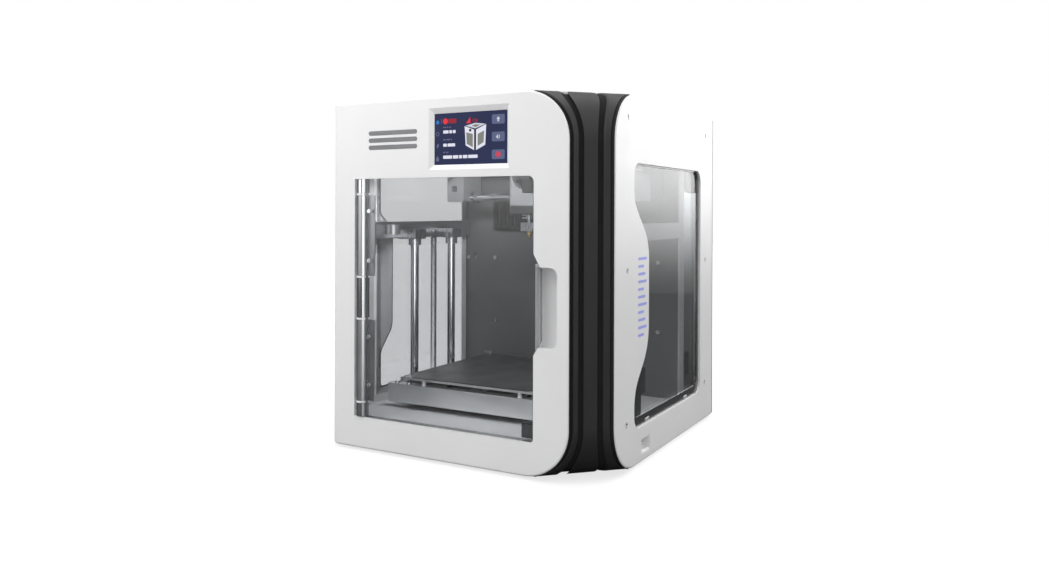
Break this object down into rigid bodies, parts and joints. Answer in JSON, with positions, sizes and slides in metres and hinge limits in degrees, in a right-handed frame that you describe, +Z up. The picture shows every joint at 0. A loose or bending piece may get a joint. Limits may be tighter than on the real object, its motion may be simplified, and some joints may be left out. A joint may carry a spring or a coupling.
{
  "type": "fdm printer",
  "caption": "Enclosed desktop filament printer with white rounded shell, clear hinged door, black 45 degree corner column, heated bed on rods and X/Y gantry.",
  "frame": {"origin": "middle of the footprint box at the ground, the feet's undersides at z 0", "axes": "+X to the viewer's right across the front, +Y from the front door to the back, +Z up"},
  "size_m": [0.342, 0.4502, 0.396],
  "materials": {
    "belt_rubber": "ribbed",
    "black_trim": "fine matte black",
    "board_green": "solder mask",
    "brass": "machined",
    "brushed_plate": "dark textured coating",
    "chassis_grey": "grey powder coat",
    "clear_acrylic": "clear, faintly smoked",
    "gasket_rubber": "matte",
    "grey_plastic": "moulded",
    "light_diffuser": "translucent white",
    "motor_black": "black",
    "polished_steel": "polished",
    "satin_aluminium": "satin",
    "screen_glass": "glossy navy display",
    "smoked_acrylic": "smoked",
    "white_shell": "satin white paint"
  },
  "bodies": {
    "printer_frame": {"back_panel": "chassis_grey", "base_tray": "chassis_grey", "case_screws": "polished_steel", "chamber_floor": "chassis_grey", "corner_column": "black_trim", "door_magnets": "black_trim", "drive_belts": "belt_rubber", "exhaust_fan": "black_trim", "feet": "gasket_rubber", "filament_inlet": "grey_plastic", "filter_box": "black_trim", "front_panel": "white_shell", "guide_rods": "polished_steel", "hinge_frame_leaf": "polished_steel", "hinge_pin": "polished_steel", "left_panel": "white_shell", "light_bar": "light_diffuser", "mainboard": "board_green", "motor_brackets": "chassis_grey", "power_inlet": "black_trim", "power_supply": "satin_aluminium", "rear_wall": "chassis_grey", "right_panel": "white_shell", "rod_mounts": "satin_aluminium", "side_liners": "chassis_grey", "side_rails": "satin_aluminium", "side_windows": "clear_acrylic", "spool_holder": "black_trim", "stepper_motors": "motor_black", "top_frame": "white_shell", "touch_screen": "screen_glass", "usb_port": "white_shell", "window_gaskets": "gasket_rubber"},
    "door": {"door_panel": "clear_acrylic", "hinge_door_leaf": "polished_steel", "door_fittings": "polished_steel"},
    "lid": {"top_lid": "smoked_acrylic", "lid_handle": "black_trim"},
    "bed": {"bed_carriage": "satin_aluminium", "bed_frame": "satin_aluminium", "leveling_knobs": "black_trim", "heated_bed": "satin_aluminium", "build_plate": "brushed_plate", "z_bearings": "polished_steel", "lead_nut": "brass"},
    "screw": {"lead_screw": "polished_steel"},
    "gantry": {"beam_carriages": "grey_plastic", "x_rods": "polished_steel"},
    "tool_head": {"head_carriage": "grey_plastic", "head_cover": "black_trim", "extruder_motor": "motor_black", "hot_end": "satin_aluminium", "nozzle": "brass"},
    "head_fan_rotor": {"head_fan": "black_trim"},
    "exhaust_fan_rotor": {"exhaust_rotor": "black_trim"},
    "left_idler_wheel": {"left_idler": "satin_aluminium"},
    "right_idler_wheel": {"right_idler": "satin_aluminium"},
    "left_drive_pulley": {"left_pulley": "satin_aluminium"},
    "right_drive_pulley": {"right_pulley": "satin_aluminium"},
    "rocker": {"power_rocker": "black_trim"}
  },
  "joints": [
    {"name": "door_hinge", "type": "hinge", "parent": "printer_frame", "child": "door", "pos_m": [-0.1272, -0.21786, 0.17], "axis": [0, 0, -1], "range_deg": [0, 110]},
    {"name": "lid_lift", "type": "slide", "parent": "printer_frame", "child": "lid", "axis": [0, 0, 1], "range_m": [0, 0.06]},
    {"name": "bed_z", "type": "slide", "parent": "printer_frame", "child": "bed", "axis": [0, 0, 1], "range_m": [0, 0.163]},
    {"name": "lead_screw_spin", "type": "hinge", "parent": "printer_frame", "child": "screw", "pos_m": [-0.141, -0.05946, 0.1], "axis": [0, 0, 1], "range_deg": [0, 7340]},
    {"name": "gantry_y", "type": "slide", "parent": "printer_frame", "child": "gantry", "axis": [0, 1, 0], "range_m": [-0.15, 0.024]},
    {"name": "head_x", "type": "slide", "parent": "gantry", "child": "tool_head", "axis": [1, 0, 0], "range_m": [-0.08, 0.104]},
    {"name": "head_fan_spin", "type": "hinge", "parent": "tool_head", "child": "head_fan_rotor", "pos_m": [-0.012, -0.04236, 0.317], "axis": [0, 1, 0], "continuous": true},
    {"name": "exhaust_fan_spin", "type": "hinge", "parent": "printer_frame", "child": "exhaust_fan_rotor", "pos_m": [0, 0.12964, 0.33], "axis": [0, 1, 0], "continuous": true},
    {"name": "left_pulley_spin", "type": "hinge", "parent": "printer_frame", "child": "left_drive_pulley", "pos_m": [-0.135, 0.07464, 0.351], "axis": [0, 0, 1], "range_deg": [-1080, 1080]},
    {"name": "right_pulley_spin", "type": "hinge", "parent": "printer_frame", "child": "right_drive_pulley", "pos_m": [0.135, 0.07464, 0.351], "axis": [0, 0, 1], "range_deg": [-1080, 1080]},
    {"name": "left_idler_spin", "type": "hinge", "parent": "printer_frame", "child": "left_idler_wheel", "pos_m": [-0.135, -0.19836, 0.351], "axis": [0, 0, 1], "range_deg": [-1080, 1080]},
    {"name": "right_idler_spin", "type": "hinge", "parent": "printer_frame", "child": "right_idler_wheel", "pos_m": [0.135, -0.19836, 0.351], "axis": [0, 0, 1], "range_deg": [-1080, 1080]},
    {"name": "power_switch", "type": "hinge", "parent": "printer_frame", "child": "rocker", "pos_m": [0.064, 0.13564, 0.07], "axis": [1, 0, 0], "range_deg": [0, 12]}
  ],
  "couplings": [
    {"joint": "lead_screw_spin", "follows": "bed_z", "rad_per_m": 785.4},
    {"joint": "left_pulley_spin", "follows": "gantry_y", "rad_per_m": -114.9},
    {"joint": "right_pulley_spin", "follows": "gantry_y", "rad_per_m": 114.9},
    {"joint": "left_idler_spin", "follows": "gantry_y", "rad_per_m": -114.9},
    {"joint": "right_idler_spin", "follows": "gantry_y", "rad_per_m": 114.9}
  ]
}
